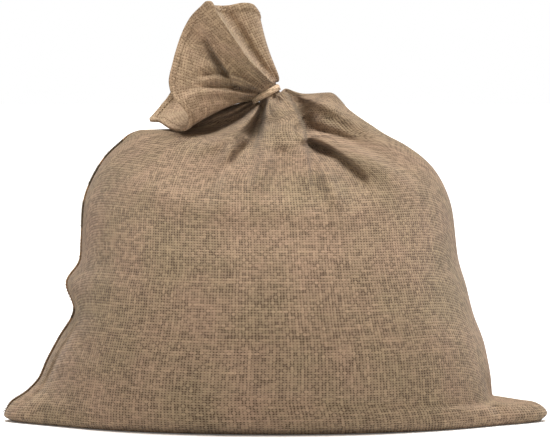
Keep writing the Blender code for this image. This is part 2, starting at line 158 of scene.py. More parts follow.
BODY_FOLDS = (
    Fold("left_roll", 24, 3.5, 10, (-10, 339, -18, 327, -26, 318, -37, 309.5, -52, 302, -68, 294,
        -84, 286), lean=0.2),
    Fold("left_tuck", 14, 2.5, 5, (-14, 340, -24, 334.5, -34, 330, -44, 325.5, -56, 320)),
    Fold("left_hollow", -36, 2.5, 8, (-16, 337, -26, 328, -36, 320.5, -48, 314.5, -62, 309.5, -80, 306,
        -100, 304)),
    Fold("lobe_shade", -20, 3, 7, (-20, 343, -34, 338, -50, 332, -66, 323)),
    Fold("left_pit", -50, 3, 4.5, (-10.5, 344, -12.5, 334, -14.5, 324, -16.5, 315, -18.5, 307, -21, 297,
        -26, 283), lean=-0.2),
    Fold("pit_core", -40, 4, 5, (-16, 318, -18.5, 309.5, -20.5, 302, -22.5, 296), lean=-0.2),
    Fold("centre", 20, 7, 30, (1, 342, 5.5, 325, 9, 312, 9, 298, 6, 276, 2, 245)),
    Fold("centre_rib", 4, 2.5, 3, (-7.5, 343, -5, 335, -1.5, 326.5)),
    Fold("throat", -13, 4, 5, (-3, 340, 2, 336, 7, 331)),
    Fold("tongue_rim", 6, 2, 5, (6, 346.5, 13.5, 336.5, 19.5, 327.5, 24, 318, 28.5, 308, 30.5, 296,
        32, 288, 33.5, 276, 35.5, 250), lean=-0.5),
    Fold("rim_strip", 5, 3, 2.5, (30.5, 340, 28.8, 334, 27, 328, 24.5, 322)),
    Fold("centre_edge", -24, 5, 9, (13, 344, 19, 335, 24, 327, 28, 319, 32, 308, 33.8, 296, 35.2, 286,
        37, 272, 38.5, 256, 40, 235), lean=0.7),
    Fold("side_valley", -26, 6, 10, (27, 309, 34, 307.5, 44, 304.5, 56, 300, 69.5, 294.5, 86, 286.5,
        104, 277), lean=-0.3),
    Fold("side_pit", -18, 5, 7, (27.5, 319, 30.5, 315, 35, 312.5, 42, 310.5), lean=0.3),
    Fold("low_ridge", 28, 5.5, 13, (31, 303.5, 40, 302.5, 50, 300, 62.2, 296, 76.8, 288.5, 90, 281.5,
        106, 272.5, 122, 262.5, 140, 249.5), lean=-0.5),
    Fold("low_valley", -15, 4, 8, (34, 293.5, 43, 290.5, 52, 287, 62.2, 281.5, 76.8, 270, 88, 258,
        96, 240), lean=-0.5),
    Fold("low_pit", -16, 4, 7, (30, 292.5, 34, 292.5, 43, 289.5, 52, 285, 62.2, 277.5), lean=-0.3),
    Fold("shoulder_line", 7, 14, 14, (-165, 262, -131, 249, -89, 235, -51, 227, -0.5, 231, 54, 221,
        99, 234, 140, 255, 160, 265)),
    Fold("left_lobe", 16.5, 6, 13, (-40, 300, -46, 283, -50, 262, -52, 240, -53, 225)),
    Fold("left_groove", -15, 5, 10, (-27, 294, -36, 284, -46, 273, -56, 261, -66, 247)),
    Fold("tongue_left", 13.5, 6, 12, (-9, 290, -13, 270, -20, 250, -28, 232)),
    Fold("tongue_dip", -8, 9, 12, (6, 292, 7, 276, 6, 262, 4, 246)),
    Fold("right_lobe", 16.5, 6, 14, (48, 270, 54, 254, 60, 240, 64, 226)),
    Fold("ear_line", -8, 2.5, 2.5, (-206, 104, -214, 92, -225.5, 72.5, -234, 54, -243, 36.5, -256, 25,
        -268, 16)),
    Fold("side_ridge", 13, 4, 12, (14, 348, 28.7, 340.5, 44, 335, 60, 327.5, 76, 318.5, 91, 310.5,
        112, 297.5, 135, 285, 160, 269)),
    Fold("hump_step", -8, 3, 5, (32, 341.5, 47, 338, 62, 333, 78, 325, 93.5, 317, 117, 302), lean=0.5),
    Fold("right_crease", -6, 3, 7, (217, 52, 222, 34, 229, 19, 238, 4)),
    Fold("left_crease", -7, 4, 7, (-214, 121, -206, 99.5, -198, 84, -182, 74)),
    Fold("back_ridge", 12, 6, 26, (-5, 334, -2, 318, 4, 290, 6, 255, 4, 205), side=Side.BACK),
    Fold("back_pit", -26, 5, 13, (2, 343, 16, 320, 32, 294, 44, 255, 50, 205), side=Side.BACK),
    Fold("back_hip", 10, 6, 20, (12, 343, 36, 326, 60, 302, 77, 268, 88, 220), side=Side.BACK),
    Fold("back_crease", -26, 5, 13, (-20, 324, -30, 310, -42, 286, -54, 248, -60, 195), side=Side.BACK),
    Fold("back_roll", 12, 6, 20, (-34, 320, -54, 308, -78, 289, -102, 257, -116, 210), side=Side.BACK),
    Fold("seam_pit", -18, 5, 12, (-52, 314, -70, 306, -100, 292, -132, 258), side=Side.BACK),
    Fold("hip_pit", -14, 5, 13, (28, 343, 65, 325, 97, 296, 120, 256), side=Side.BACK),
)

HEM = tuple(HemPoint(*row) for row in (
    (0, 96.3, 85, 4), (12, 101.5, 86, 18), (26, 108, 92, 34), (42, 120, 100, 22),
    (58, 127, 104, 44), (74, 138, 103, 26), (90, 146, 103, 48), (106, 157, 101, 30),
    (122, 166, 101, 48), (138, 177, 100.5, 36), (150, 184, 107, 36), (158, 190.5, 119.5, 29),
    (164, 193.8, 127.5, 19), (171, 195.3, 118, 5), (179, 199.3, 110, -13), (186, 203, 100, -32),
    (191, 203.8, 93.5, -43), (196, 201.5, 88, -50), (201, 195.5, 85, -53), (207, 188.6, 89.3, -54),
    (213, 182.5, 96.5, -53), (220, 177, 101, -51), (230, 171, 103, -50), (240, 164.5, 103, -48),
    (252, 156, 104.5, -43), (265, 147.4, 107.5, -37), (277, 140.5, 110.4, -37),
    (289, 134, 112.7, -43), (300, 128, 113.4, -48), (309, 124, 114.5, -49), (316, 121.3, 111, -46),
    (321, 121.6, 107.5, -32), (326, 119.6, 104.5, -20), (334, 113.5, 99.5, -17),
    (344, 106, 97.5, -13), (353, 99.5, 93.5, -6),
))

BOWS = (
    Bow("lobe", 203, 24, 0.55, 0, 4),
    Bow("chin", 212, 36, 0.03, -4, -7.5),
    Bow("pleat", 306, 15, 0.40, -6, -3),
    Bow("edge", 0, 45, 0.12, 5, 0),
    Bow("waist", 0, 40, 0.50, -2.5, 0),
)

RUFFLE_FOLDS = (
    Fold("crease", -13, 4, 2, (-47, 355, -51.5, 362.5, -57, 371, -63, 381, -68.5, 391,
        -75, 405), lean=0.4),
    Fold("crease_lip", 4, 3, 9, (-43, 358, -53, 374, -59, 384.5, -65, 396, -73, 413), lean=-0.5),
    Fold("branch", -9, 3, 5, (-46, 362, -60, 364.5, -70.5, 364, -82, 360)),
    Fold("left_panel", 5, 12, 14, (-60, 362, -74, 373, -87, 387.5, -94, 402)),
    Fold("upper_lobe", 7, 2, 4.5, (-14, 345, -29, 355, -40, 359.5, -54, 361, -66, 359.5, -82, 353)),
    Fold("between", -10, 2, 4, (-15, 344, -30, 347, -41, 349, -53, 351, -65, 352, -80, 350)),
    Fold("lower_lobe", 9, 2, 7, (-15, 342, -31, 343, -41, 344.5, -53, 346, -65, 347, -76, 347, -86, 343,
        -100, 333), lean=0.5),
    Fold("pleat_edge", 7, 1.5, 3.5, (-3, 354, -14, 365.5, -21.5, 372, -29, 380, -36, 391, -40, 399,
        -45.5, 409.5, -53, 418, -58, 426, -64, 440), lean=0.6),
    Fold("pleat_hollow", -6, 3, 4, (2, 355, -10, 369, -17, 378, -24.5, 389, -31, 399, -37, 409.5,
        -44.5, 420, -54, 437)),
)


# ----- Small tools for shapes and materials -----


def through_rows(
    keys: Sequence[float], rows: Sequence[Sequence[float]], at: np.ndarray, period: float = 0.0
) -> np.ndarray:
    """Runs a monotone cubic through a table's rows, so that nothing swells past its sizes.

    Args:
        keys: Where each row stands, rising.
        rows: The table's numbers, one row for each key.
        at: Where to read the table.
        period: The length after which the table repeats, or 0.

    Returns:
        One row of numbers for each place in at.
    """
    keys = np.asarray(keys, float)
    table = np.asarray(rows, float)
    at = np.asarray(at, float)
    if period:
        keys = np.concatenate([keys[-3:] - period, keys, keys[:3] + period])
        table = np.concatenate([table[-3:], table, table[:3]])
        at = at % period
    gap = np.diff(keys)[:, None]
    rise = np.diff(table, axis=0) / gap
    slope = np.zeros_like(table)
    same = rise[:-1] * rise[1:] > 0
    both = np.where(same, rise[:-1] + rise[1:], 1.0)
    slope[1:-1] = np.where(same, 2.0 * rise[:-1] * rise[1:] / both, 0.0)
    slope[0] = rise[0]
    slope[-1] = rise[-1]
    span = np.clip(np.searchsorted(keys, at, side="right") - 1, 0, len(keys) - 2)
    t = ((at - keys[span]) / gap[span, 0])[:, None]
    start, end = table[span], table[span + 1]
    return (
        start * (2 * t**3 - 3 * t**2 + 1)
        + slope[span] * gap[span] * (t**3 - 2 * t**2 + t)
        + end * (3 * t**2 - 2 * t**3)
        + slope[span + 1] * gap[span] * (t**3 - t**2)
    )


def turn_apart(azimuth: np.ndarray, middle: float) -> np.ndarray:
    """The signed turn from middle to each azimuth, in degrees, from -180 to 180."""
    return (azimuth - middle + 180.0) % 360.0 - 180.0


def ease(value: np.ndarray) -> np.ndarray:
    """A soft step from 0 to 1."""
    value = np.clip(value, 0.0, 1.0)
    return value * value * (3.0 - 2.0 * value)


def outward(rings: Rings) -> np.ndarray:
    """Unit normals of closed rings that rise anticlockwise.

    Args:
        rings: The rings, in metres.

    Returns:
        A unit vector for each point.
    """
    around = np.roll(rings, -1, axis=1) - np.roll(rings, 1, axis=1)
    normal = np.cross(around, np.gradient(rings, axis=0))
    return normal / np.maximum(np.linalg.norm(normal, axis=-1, keepdims=True), 1e-12)


def linear(colour: str) -> tuple[float, float, float, float]:
    """Turns an sRGB hex colour into Blender's linear RGBA.

    Args:
        colour: The colour, as # and six digits.

    Returns:
        Red, green, blue and full opacity.
    """
    parts = [int(colour.lstrip("#")[at : at + 2], 16) / 255 for at in (0, 2, 4)]
    red, green, blue = (
        part / 12.92 if part <= 0.04045 else ((part + 0.055) / 1.055) ** 2.4 for part in parts
    )
    return red, green, blue, 1.0


def add_node(
    tree: Tree, kind: str, links: dict[str | int, object] | Sequence[object] = (), **settings: object
) -> bpy.types.Node:
    """Adds a shader node.

    Args:
        tree: The material's or world's node tree.
        kind: The node's type, without its ShaderNode prefix.
        links: What the inputs take, by name or in order: a node for its first output, another
            output, or a value to set.
        settings: The node's own properties.

    Returns:
        The new node.
    """
    node = tree.nodes.new("ShaderNode" + kind)
    for name, value in settings.items():
        setattr(node, name, value)
    for name, value in (links if isinstance(links, dict) else dict(enumerate(links))).items():
        if isinstance(value, bpy.types.Node):
            value = value.outputs[0]
        if isinstance(value, bpy.types.NodeSocket):
            tree.links.new(value, node.inputs[name])
        else:
            node.inputs[name].default_value = value
    return node


def new_finish(name: str) -> tuple[bpy.types.Material, Tree]:
    """A new material and its empty node tree.

    Args:
        name: The finish's name.

    Returns:
        The material and its tree.
    """
    finish = bpy.data.materials.new(name)
    finish.use_nodes = True
    finish.node_tree.nodes.clear()
    return finish, finish.node_tree


# ----- The sack's form -----


@dataclass(frozen=True)
class SackForm:
    """The cloth's shape as rings round the neck's azimuth, from the floor to the hem."""

    neck_centre: tuple[float, float, float] = (-0.0080, 0.0, 0.3434)
    neck_radius: float = 0.0120
    neck_lean: float = 28.0
    neck_rows: tuple[float, ...] = (-0.0055, 0.0, 0.0055)
    ear_spread: float = 19.0
    depth_swell: float = 0.25
    deepest: float = 0.8
    turned_away: float = 0.35
    ridge_blunt: float = 2.0
    valley_blunt: float = 1.8
    # A fold starts at part of its height, and fades out towards its end.
    start_height: float = 0.35
    start_length: float = 0.25
    end_height: float = 0.1
    end_length: float = 0.4

    def neck_axes(self) -> tuple[np.ndarray, np.ndarray, np.ndarray]:
        """The neck's own right, back and up directions.

        Returns:
            Three unit vectors.
        """
        lean = math.radians(self.neck_lean)
        right = np.array([math.cos(lean), 0.0, math.sin(lean)])
        up = np.array([-math.sin(lean), 0.0, math.cos(lean)])
        return right, np.array([0.0, 1.0, 0.0]), up

    def neck_ring(self, azimuth: np.ndarray, along: float, radius: float) -> np.ndarray:
        """A true circle round the neck, at a distance along it.

        Args:
            azimuth: The columns, in degrees.
            along: How far up the neck it lies, in metres.
            radius: Its radius, in metres.

        Returns:
            A point for each column.
        """
        right, back, up = self.neck_axes()
        turn = np.radians(azimuth)[:, None]
        centre = np.array(self.neck_centre) + along * up
        return centre + radius * (np.cos(turn) * right + np.sin(turn) * back)

    def neck_section(self, along: float) -> tuple[float, ...]:
        """The neck circle written as a section, so that the body runs straight into it.

        Args:
            along: How far up the neck it lies, in metres.

        Returns:
            A section's numbers without its name, in metres.
        """
        right, _, up = self.neck_axes()
        centre = np.array(self.neck_centre) + along * up
        wide, rise = self.neck_radius * right[0], self.neck_radius * right[2]
        reach = (wide - centre[0], wide + centre[0], self.neck_radius, self.neck_radius)
        height = (centre[2] - rise, centre[2] + rise, centre[2], centre[2])
        return (*reach, *height, 1.0, 0.0, 0.0)

    def section_rings(self, azimuth: np.ndarray, levels: np.ndarray) -> Rings:
        """The smooth body, one ring for each level.

        Args:
            azimuth: The columns, in degrees.
            levels: The levels, where 0 is the floor.

        Returns:
            A ring of points for each level.
        """
        units = np.array([MM] * 8 + [1.0] + [MM] * 2)
        rows = [np.array(astuple(section)[1:]) * units for section in SECTIONS]
        rows += [self.neck_section(along) for along in self.neck_rows]
        at = through_rows(np.arange(len(rows)), rows, levels)
        left, right, front, back, z_left, z_right, z_front, z_back, lens, *ears = at.T[:, :, None]
        across, deep = np.cos(np.radians(azimuth)), np.sin(np.radians(azimuth))
        x = (right - left) / 2 + (right + left) / 2 * across
        for middle, side, ear in ((180.0, -1.0, ears[0]), (0.0, 1.0, ears[1])):
            x = x + side * ear * np.exp(-((turn_apart(azimuth, middle) / self.ear_spread) ** 2))
        y = (back - front) / 2 + (back + front) / 2 * np.sign(deep) * np.abs(deep) ** lens
        middle = (z_front + z_back) / 2
        z = middle + (z_right - z_left) / 2 * across + (z_back - z_front) / 2 * deep
        z = z + ((z_right + z_left) / 2 - middle) * across**2
        return np.stack([x, y, z + 0 * x], axis=-1)

    def pressed(self, smooth: Rings, folds: Sequence[Fold], still: np.ndarray) -> Rings:
        """Presses the folds into smooth rings, each from its own side.

        Args:
            smooth: The smooth points.
            folds: The ridges and valleys.
            still: How much of the folds each ring takes, 0 to 1.

        Returns:
            The folded points.
        """
        turned = outward(smooth)[..., 1] / self.turned_away
        press = np.zeros(smooth.shape[:2])
        for fold in folds:
            sense = fold.side.value
            height = sense * fold.height * MM * self.fold_share(smooth[..., [0, 2]], fold)
            press += height * ease(sense * turned) * still[:, None]
        # A valley stops short of the sack's middle, however deep its table says it is.
        room = self.deepest * np.maximum(np.abs(smooth[..., 1]), 1e-6)
        away = np.sign(smooth[..., 1])
        outwards = press * away / room
        folded = smooth.copy()
        folded[..., 1] += np.where(outwards < 0, np.tanh(outwards), outwards) * room * away
        return folded

    def fold_share(self, flat: np.ndarray, fold: Fold) -> np.ndarray:
        """How much of a fold's height each point takes.

        Args:
            flat: The points as they look from the fold's side, in metres.
            fold: The ridge or valley.

        Returns:
            A share for each point, 0 to 1.
        """
        pairs = fold.pairs()
        count = 4 * len(pairs)
        line = through_rows(np.arange(len(pairs)), pairs, np.linspace(0, len(pairs) - 1, count))
        nearest = np.full(flat.shape[:2], np.inf)
        place = np.zeros(flat.shape[:2])
        turn = np.zeros(flat.shape[:2])
        for index, (origin, step) in enumerate(zip(line[:-1], np.diff(line, axis=0))):
            away = flat - origin
            part = np.clip(away @ step / (step @ step), 0.0, 1.0)
            away = away - part[..., None] * step
            apart = np.linalg.norm(away, axis=-1)
            side = step[0] * away[..., 1] - step[1] * away[..., 0]
            side = side / (np.linalg.norm(step) * np.maximum(apart, 1e-9))
            closer = apart < nearest
            place = np.where(closer, (index + part) / (count - 1), place)
            turn = np.where(closer, side, turn)
            nearest = np.minimum(nearest, apart)
        wide = (fold.wide_start + (fold.wide_end - fold.wide_start) * place) * MM
        wide = wide * (1.0 + fold.lean * np.clip(turn, -1.0, 1.0))
        start = np.clip(place / self.start_length + self.start_height, 0, 1)
        end = np.clip((1.0 - place) / self.end_length + self.end_height, 0, 1)
        blunt = self.ridge_blunt if fold.height > 0 else self.valley_blunt
        return start * end * np.exp(-((nearest / wide) ** blunt))

    def body_rings(self, azimuth: np.ndarray, levels: np.ndarray) -> Rings:
        """The filled body from the floor to the top of the neck."""
        still = np.clip((LAST_SECTION + 0.25 - levels) / 0.75, 0.0, 1.0)
        return self.pressed(self.section_rings(azimuth, levels), BODY_FOLDS, still)

    def fan_rings(self, azimuth: np.ndarray, shares: np.ndarray) -> Rings:
        """The smooth ruffle with its bends, from the neck (share 0) to the hem (share 1).

        Args:
            azimuth: The columns, in degrees.
            shares: Shares of the way from the neck (0) to the hem (1).

        Returns:
            A ring of points for each share.
        """
        table = np.array([astuple(point) for point in HEM])
        angle, reach, depth = through_rows(table[:, 0], table[:, 1:], azimuth, 360.0).T
        turn, reach, depth = np.radians(angle), reach * MM, depth * MM
        fan = np.stack([reach * np.cos(turn), depth, reach * np.sin(turn)], axis=-1)
        end = (np.array(self.neck_centre) + fan)[None]
        start = self.neck_ring(azimuth, self.neck_rows[-1], self.neck_radius)[None]
        share = np.asarray(shares)[:, None, None]
        rings = start + (end - start) * share
        swell = np.sin(np.pi * share[..., 0])
        rings[..., 1] += self.depth_swell * swell * (end - start)[..., 1]
        for bow in BOWS:
            near = np.exp(-((turn_apart(azimuth, bow.azimuth) / bow.spread) ** 2))
            power = math.log(0.5) / math.log(bow.peak)
            bend = MM * near * np.sin(np.pi * share[..., 0] ** power)
            rings[..., 0] += bow.sideways * bend
            rings[..., 2] += bow.upward * bend
        return rings

    def ruffle_rings(self, azimuth: np.ndarray, shares: np.ndarray) -> Rings:
        """The open cloth above the tie with its folds."""
        still = np.clip(np.asarray(shares) / 0.08, 0.0, 1.0)
        return self.pressed(self.fan_rings(azimuth, shares), RUFFLE_FOLDS, still)


FORM = SackForm()


# ----- Finishes -----


@dataclass(frozen=True)
class Burlap:
    """Jute sacking in an open plain weave: matt, slubby yarns with dark pores between them."""

    name: str = "jute_burlap"
    ruddy: str = "#897460"
    straw: str = "#82725B"
    # Painted shade in the gaps between yarns.
    pore_shade: str = "#49372A"
    # Painted light in the gaps of the ruffle's cloth, as daylight showing through them.
    lit_pore: str = "#705C46"
    warp_pitch: float = 3.1 * MM
    weft_pitch: float = 2.9 * MM
    fill: float = 0.54
    uneven: float = 0.8
    # Patterns to a metre: yarns drift over 38 mm, worn patches are 83 mm and fibres 1.7 mm,
    # which is coarser than real ones, because those are too fine to show.
    drifts: float = 26.0
    patches: float = 12.0
    fibres: float = 600.0
    wander: float = 0.1 * MM
    relief: float = 0.7 * MM
    roughness: float = 0.93
    sheen: float = 0.10

    def make(self) -> bpy.types.Material:
        """Builds the material from the weave's UVs, which are in metres of cloth.

        Returns:
            The material.
        """
        finish, tree = new_finish(self.name)
        uv = add_node(tree, "UVMap", uv_map=WEAVE_UV)
        # Loose yarns wander by a small part of their spacing.
        drift = add_node(tree, "TexNoise", {
            "Vector": uv, "Scale": self.drifts, "Detail": 2.0}, noise_dimensions="2D")
        centred = add_node(
            tree, "VectorMath", (drift.outputs["Color"], (0.5, 0.5, 0.5)), operation="SUBTRACT")
        reach = (self.wander * 4,) * 3
        shifted = add_node(tree, "VectorMath", (centred, reach, uv), operation="MULTIPLY_ADD")
        counts = (1 / self.warp_pitch, 1 / self.weft_pitch, 1.0)
        threads = add_node(tree, "VectorMath", (shifted, counts), operation="MULTIPLY")
        x, y, _ = add_node(tree, "SeparateXYZ", (threads,)).outputs
        # Worn and loosely beaten patches, where more pores show and the yarns look greyer.
        patch = add_node(tree, "TexNoise", {
            "Vector": uv, "Scale": self.patches, "Detail": 4.0, "Roughness": 0.65,
        }, noise_dimensions="2D")
        loose = add_node(tree, "MapRange", (patch, 0.36, 0.64, self.fill + 0.05, self.fill - 0.05))
        warp, warp_shade = self.yarn(tree, x, y, loose, 3.7)
        weft, weft_shade = self.yarn(tree, y, x, loose, 11.3)
        cross = self.crossing(tree, x, y)
        under = add_node(tree, "Math", (cross, 0.25, warp), operation="MULTIPLY_ADD")
        over = add_node(tree, "Math", (cross, -0.25, weft), operation="MULTIPLY_ADD")
        top = add_node(tree, "Math", (under, over), operation="MAXIMUM")
        # Hand-spun yarn is thick and pale at one crossing, thin and dull at the next.
        cell = add_node(tree, "VectorMath", (threads,), operation="FLOOR")
        chance = add_node(tree, "TexWhiteNoise", {"Vector": cell}, noise_dimensions="2D")
        half = 0.5 * self.uneven
        swing = add_node(tree, "MapRange", (chance, 0.0, 1.0, -half, half))
        which = add_node(tree, "Math", (under, over), operation="GREATER_THAN")
        shade = add_node(tree, "Mix", {
            "Factor": which, "A": weft_shade, "B": warp_shade}, data_type="FLOAT")
        spotty = add_node(tree, "Math", (swing, 0.40, shade), operation="MULTIPLY_ADD")
        fibres = add_node(tree, "TexNoise", {
            "Vector": uv, "Scale": self.fibres, "Detail": 2.0, "Roughness": 0.7,
        }, noise_dimensions="2D")
        light = add_node(tree, "Math", (fibres, 0.70, spotty), operation="MULTIPLY_ADD")
        tint = add_node(tree, "MapRange", (patch, 0.34, 0.66))
        dye = add_node(tree, "Mix", {
            "Factor": tint, 6: linear(self.ruddy), 7: linear(self.straw)}, data_type="RGBA")
        jute = add_node(tree, "HueSaturation", {"Value": light, "Color": dye.outputs[2]})
        # Gaps are painted brown as the cloth's own shadow, and painted paler on the ruffle's cloth, as
        # daylight showing through them.
        backlit_share = add_node(tree, "Attribute", attribute_name=PAINTED_BACKLIGHT).outputs["Fac"]
        gap = add_node(tree, "Mix", {
            "Factor": backlit_share, 6: linear(self.pore_shade), 7: linear(self.lit_pore)}, data_type="RGBA")
        ragged = add_node(tree, "Math", (top, swing), operation="ADD")
        depth = add_node(tree, "MapRange", (ragged, 0.0, 0.75), interpolation_type="SMOOTHSTEP")
        woven = add_node(tree, "Mix", {
            "Factor": depth, 6: gap.outputs[2], 7: jute}, data_type="RGBA")
        # Painted light: the ruffle's whole colour is made up to about a quarter brighter, as if lit on
        # and through its single cloth.
        glow = add_node(tree, "MapRange", (backlit_share, 0.0, 1.0, 1.0, 1.26))
        colour = add_node(tree, "HueSaturation", {"Value": glow, "Color": woven.outputs[2]})
        bump = add_node(tree, "Bump", {"Strength": 0.7, "Distance": self.relief, "Height": top})
        shader = add_node(tree, "BsdfPrincipled", {
            "Base Color": colour, "Roughness": self.roughness, "Sheen Weight": self.sheen,
            "Sheen Roughness": 0.6, "Specular IOR Level": 0.2, "Normal": bump})
        add_node(tree, "OutputMaterial", (shader,))
        return finish

    def yarn(
        self, tree: Tree, across: object, along: object, fill: object, seed: float
    ) -> tuple[object, object]:
        """One set of parallel yarns, each with its own thickness, slubs and shade.

        Args:
            tree: The material's node tree.
            across: The coordinate that counts yarns.
            along: The coordinate that runs along them.
            fill: How much of its spacing a yarn fills.
            seed: Sets these yarns apart from the other set.

        Returns:
            Nodes for the yarns' height, 0 to 1, and for their brightness about 1.
        """
        index = add_node(tree, "Math", (across,), operation="FLOOR")
        own = add_node(tree, "Math", (index, seed), operation="ADD")
        place = add_node(tree, "CombineXYZ", (own, along))
        # A slub runs for about nine crossings and then thins out again.
        long = add_node(tree, "VectorMath", (place, (7.31, 0.11, 1.0)), operation="MULTIPLY")
        slub = add_node(tree, "TexNoise", {
            "Vector": long, "Scale": 1.0, "Detail": 2.0, "Roughness": 0.7}, noise_dimensions="2D")
        width = add_node(tree, "Math", (slub, 0.45, fill), operation="MULTIPLY_ADD")
        part = add_node(tree, "Math", (across, 0.5), operation="PINGPONG")
        away = add_node(tree, "Math", (0.5, part), operation="SUBTRACT")
        side = add_node(tree, "Math", (away, width), operation="DIVIDE")
        square = add_node(tree, "Math", (side, 2.0), operation="POWER")
        height = add_node(
            tree, "Math", (square, -4.0, 1.0), operation="MULTIPLY_ADD", use_clamp=True)
        # Each yarn also has a shade of its own for its whole length.
        dyed = add_node(tree, "TexWhiteNoise", {"W": own}, noise_dimensions="1D")
        base = add_node(tree, "Math", (dyed, 0.26, 0.40), operation="MULTIPLY_ADD")
        return height, add_node(tree, "Math", (slub, 0.60, base), operation="MULTIPLY_ADD")

    def crossing(self, tree: Tree, x: object, y: object) -> bpy.types.Node:
        """The over and under of a plain weave, from -1 to 1.

        Args:
            tree: The material's node tree.
            x: The coordinate that counts warps.
            y: The coordinate that counts wefts.

        Returns:
            The node with the result.
        """
        waves = []
        for part in (x, y):
            angle = add_node(tree, "Math", (part, math.pi), operation="MULTIPLY")
            waves.append(add_node(tree, "Math", (angle,), operation="SINE"))
        return add_node(tree, "Math", waves, operation="MULTIPLY")


@dataclass(frozen=True)
class Thread:
    """Twisted polyester or jute sewing thread, matt."""

    name: str
    colour: str
    roughness: float = 0.85

    def make(self) -> bpy.types.Material:
        """Builds the material, with a slight change of shade along the thread.

        Returns:
            The material.
        """
        finish, tree = new_finish(self.name)
        place = add_node(tree, "TexCoord").outputs["Object"]
        # Patches of shade about 8 mm long.
        patchy = add_node(tree, "TexNoise", {"Vector": place, "Scale": 120.0, "Detail": 2.0})
        span = add_node(tree, "MapRange", (patchy, 0.0, 1.0, 0.55, 1.45))
        tone = add_node(tree, "HueSaturation", {"Value": span, "Color": linear(self.colour)})
        shader = add_node(tree, "BsdfPrincipled", {
            "Base Color": tone, "Roughness": self.roughness})
        add_node(tree, "OutputMaterial", (shader,))
        return finish


@dataclass(frozen=True)
class StudioFloor:
    """Seamless pale paper, matt."""

    name: str = "pale_paper"
    colour: str = "#FFFFFF"
    glow: float = 0.10
    bounce: str = "#E4E4E4"

    def make(self) -> bpy.types.Material:
        """Builds the material, which looks white to the camera but gives back less light.

        Returns:
            The material.
        """
        finish, tree = new_finish(self.name)
        shader = add_node(tree, "BsdfPrincipled", {
            "Base Color": linear(self.colour), "Roughness": 0.9,
            "Emission Color": linear(self.colour), "Emission Strength": self.glow})
        # The paper looks white, but dark drapes round it leave little light to bounce up.
        dim = add_node(tree, "BsdfDiffuse", {"Color": linear(self.bounce)})
        seen = add_node(tree, "LightPath").outputs["Is Camera Ray"]
        both = add_node(tree, "MixShader", (seen, dim, shader))
        add_node(tree, "OutputMaterial", (both,))
        return finish


# ----- Meshes of the sack -----


def new_object(name: str, made: Mesh, finish: bpy.types.Material) -> Piece:
    """Turns a finished mesh into an object of the scene.

    Args:
        name: The object's name.
        made: Its mesh.
        finish: Its material.

    Returns:
        The new object.
    """
    mesh = bpy.data.meshes.new(name)
    made.to_mesh(mesh)
    made.free()
    mesh.materials.append(finish)
    item = bpy.data.objects.new(name, mesh)
    bpy.context.scene.collection.objects.link(item)
    return item


def new_piece(
    name: str, made: Mesh, finish: bpy.types.Material
) -> Piece:
    """Turns a finished mesh into a piece that rides on the sack's one body.

    Args:
        name: The piece's name.
        made: Its mesh, in the frame's own metres.
        finish: Its material.

    Returns:
        The new object.
    """
    piece = new_object(name, made, finish)
    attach(piece, ROOT)
    return piece


def skin(
    made: Mesh, rings: np.ndarray, layer: object = None, face_size: tuple = (0.0, 0.0)
) -> list[list[bmesh.types.BMVert]]:
    """Joins a stack of closed rings with smooth faces.

    Args:
        made: The mesh to add to.
        rings: Points, for each ring and each place round it.
        layer: The UV layer to fill, if there is one.
        face_size: How far a face reaches round and along, in UV.

    Returns:
        The vertices of each ring.
    """
    stack = [[made.verts.new(spot) for spot in ring] for ring in rings]
    for row, (before, following) in enumerate(zip(stack, stack[1:])):
        for at in range(len(before)):
            after = (at + 1) % len(before)
            face = made.faces.new((before[at], before[after], following[after], following[at]))
            face.smooth = True
            if layer is not None:
                places = ((at, row), (at + 1, row), (at + 1, row + 1), (at, row + 1))
                for loop, (u, v) in zip(face.loops, places):
                    loop[layer].uv = (u * face_size[0], v * face_size[1])
    return stack


def thread(made: Mesh, points: np.ndarray, radius: float, sides: int = 6) -> None:
    """Adds a thin closed tube along points, which narrows at both ends.

    Args:
        made: The mesh to add to.
        points: The thread's middle line, in metres.
        radius: Its half thickness.
        sides: How many faces go round it.
    """
    ahead = np.gradient(points, axis=0)
    ahead /= np.maximum(np.linalg.norm(ahead, axis=1, keepdims=True), 1e-12)
    side = np.cross(ahead, (0.31, 0.17, 0.94))
    side /= np.maximum(np.linalg.norm(side, axis=1, keepdims=True), 1e-12)
    over = np.cross(ahead, side)
    taper = np.full(len(points), radius)
    taper[[0, -1]] *= 0.35
    rings = []
    for turn in np.arange(sides) * 2 * math.pi / sides:
        rings.append(points + taper[:, None] * (math.cos(turn) * side + math.sin(turn) * over))
    stack = skin(made, np.stack(rings, axis=1))
    made.faces.new(stack[0][::-1])
    made.faces.new(stack[-1])


def stitched(
    name: str, lines: Sequence[np.ndarray], radius: float, finish: Thread, sides: int = 6
) -> Piece:
    """Joins many short threads into one piece.

    Args:
        name: The piece's name.
        lines: The middle line of each thread.
        radius: Their half thickness.
        finish: Their finish.
        sides: How many faces go round each.

    Returns:
        The new piece.
    """
    made = bmesh.new()
    for line in lines:
        thread(made, line, radius, sides)
    return new_piece(name, made, finish.make())


def along_line(points: np.ndarray, at: np.ndarray) -> np.ndarray:
    """Points at distances along a line of points.

    Args:
        points: The line.
        at: Distances along it, in metres.

    Returns:
        A point for each distance.
    """
    steps = np.linalg.norm(np.diff(points, axis=0), axis=1)
    length = np.concatenate([[0.0], np.cumsum(steps)])
    return np.stack([np.interp(at, length, points[:, axis]) for axis in range(3)], axis=1)


def line_length(points: np.ndarray) -> float:
    """The length of a line of points."""
    return float(np.linalg.norm(np.diff(points, axis=0), axis=1).sum())


